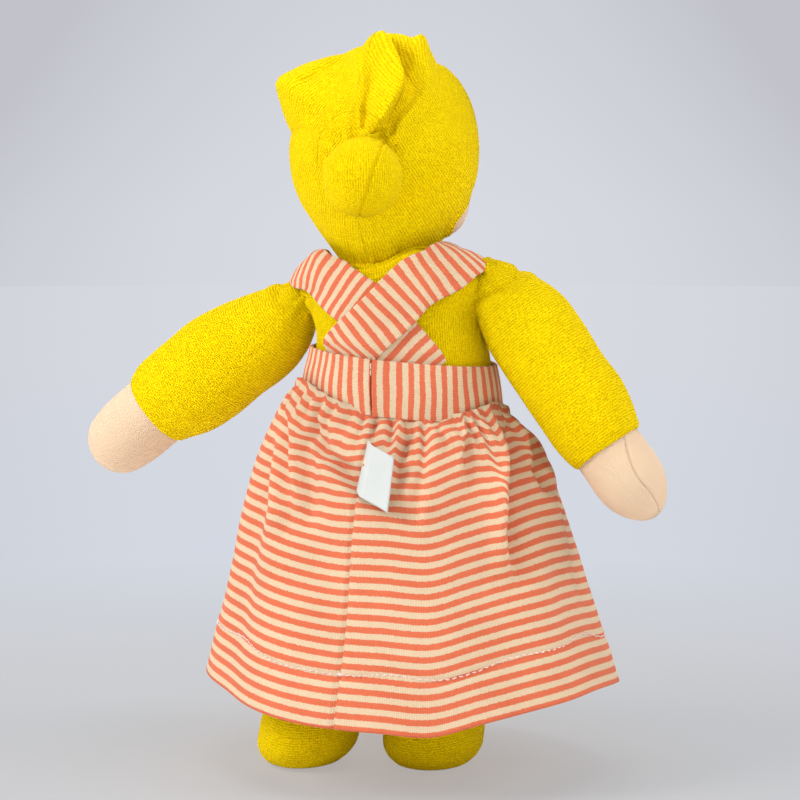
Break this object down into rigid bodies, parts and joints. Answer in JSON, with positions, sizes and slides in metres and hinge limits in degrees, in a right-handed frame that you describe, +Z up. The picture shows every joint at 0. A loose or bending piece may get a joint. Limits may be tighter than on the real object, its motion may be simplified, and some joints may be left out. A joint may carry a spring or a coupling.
{
  "type": "waldorf doll",
  "caption": "Soft stuffed doll in a hooded terry suit and a striped pinafore, with jointed head, arms and legs and a swinging hood pompom",
  "frame": {"origin": "on the ground, under the middle of the doll's overall box", "axes": "+Z up, the doll faces -Y, +X is the doll's own left"},
  "size_m": [0.2833, 0.1627, 0.3366],
  "materials": {
    "suit_terry": "yellow looped cotton terry",
    "hood_terry": "yellow looped cotton terry",
    "skin_jersey": "fine skin coloured cotton jersey",
    "striped_jersey": "cotton jersey with coral and cream stripes",
    "label_tape": "bare white woven tape",
    "wool": "carded sheep's wool",
    "tie_thread": "cotton thread",
    "eye_thread": "embroidery thread",
    "mouth_thread": "embroidery thread"
  },
  "bodies": {
    "torso": {"torso_casing": "suit_terry", "torso_filling": "wool", "skirt": "striped_jersey", "waistband": "striped_jersey", "strap_left": "striped_jersey", "strap_right": "striped_jersey", "care_label": "label_tape"},
    "neck": {"neck_tie": "tie_thread"},
    "head": {"hood": "hood_terry", "head_skin": "skin_jersey", "head_core": "wool", "eye_left": "eye_thread", "eye_right": "eye_thread", "mouth": "mouth_thread"},
    "pompom": {"pompom": "hood_terry", "pompom_filling": "wool"},
    "left_shoulder": {"left_armhole_seam": "tie_thread"},
    "left_arm": {"left_sleeve": "suit_terry", "left_arm_filling": "wool", "left_hand": "skin_jersey", "left_hand_filling": "wool"},
    "right_shoulder": {"right_armhole_seam": "tie_thread"},
    "right_arm": {"right_sleeve": "suit_terry", "right_arm_filling": "wool", "right_hand": "skin_jersey", "right_hand_filling": "wool"},
    "left_leg": {"left_leg": "suit_terry", "left_leg_filling": "wool"},
    "right_leg": {"right_leg": "suit_terry", "right_leg_filling": "wool"}
  },
  "joints": [
    {"name": "head_turn", "type": "hinge", "parent": "torso", "child": "neck", "pos_m": [-0.0067, 0.0026, 0.28], "axis": [0, 0, 1], "range_deg": [-35, 35], "stiffness_Nm_per_rad": 0.3},
    {"name": "head_nod", "type": "hinge", "parent": "neck", "child": "head", "pos_m": [-0.0067, 0.0026, 0.28], "axis": [1, 0, 0], "range_deg": [-10, 12], "stiffness_Nm_per_rad": 1},
    {"name": "pompom_swing", "type": "hinge", "parent": "head", "child": "pompom", "pos_m": [-0.01735, 0.05401, 0.28656], "axis": [0.9792, 0.203, 0], "range_deg": [0, 45]},
    {"name": "left_arm_swing", "type": "hinge", "parent": "torso", "child": "left_shoulder", "pos_m": [0.04132, 0.0026, 0.214], "axis": [-1, 0, 0], "range_deg": [-45, 75], "stiffness_Nm_per_rad": 0.5},
    {"name": "left_arm_raise", "type": "hinge", "parent": "left_shoulder", "child": "left_arm", "pos_m": [0.04132, 0.0026, 0.214], "axis": [0, -1, 0], "range_deg": [-3, 75], "stiffness_Nm_per_rad": 1},
    {"name": "right_arm_swing", "type": "hinge", "parent": "torso", "child": "right_shoulder", "pos_m": [-0.06392, 0.0026, 0.214], "axis": [-1, 0, 0], "range_deg": [-45, 75], "stiffness_Nm_per_rad": 0.5},
    {"name": "right_arm_raise", "type": "hinge", "parent": "right_shoulder", "child": "right_arm", "pos_m": [-0.06392, 0.0026, 0.214], "axis": [0, 1, 0], "range_deg": [-1.5, 85], "stiffness_Nm_per_rad": 1},
    {"name": "left_hip", "type": "hinge", "parent": "torso", "child": "left_leg", "pos_m": [0.0073, 0.0026, 0.112], "axis": [-1, 0, 0], "range_deg": [-12, 24], "stiffness_Nm_per_rad": 1.5},
    {"name": "right_hip", "type": "hinge", "parent": "torso", "child": "right_leg", "pos_m": [-0.0377, 0.0026, 0.112], "axis": [-1, 0, 0], "range_deg": [-16, 18], "stiffness_Nm_per_rad": 1.5}
  ]
}
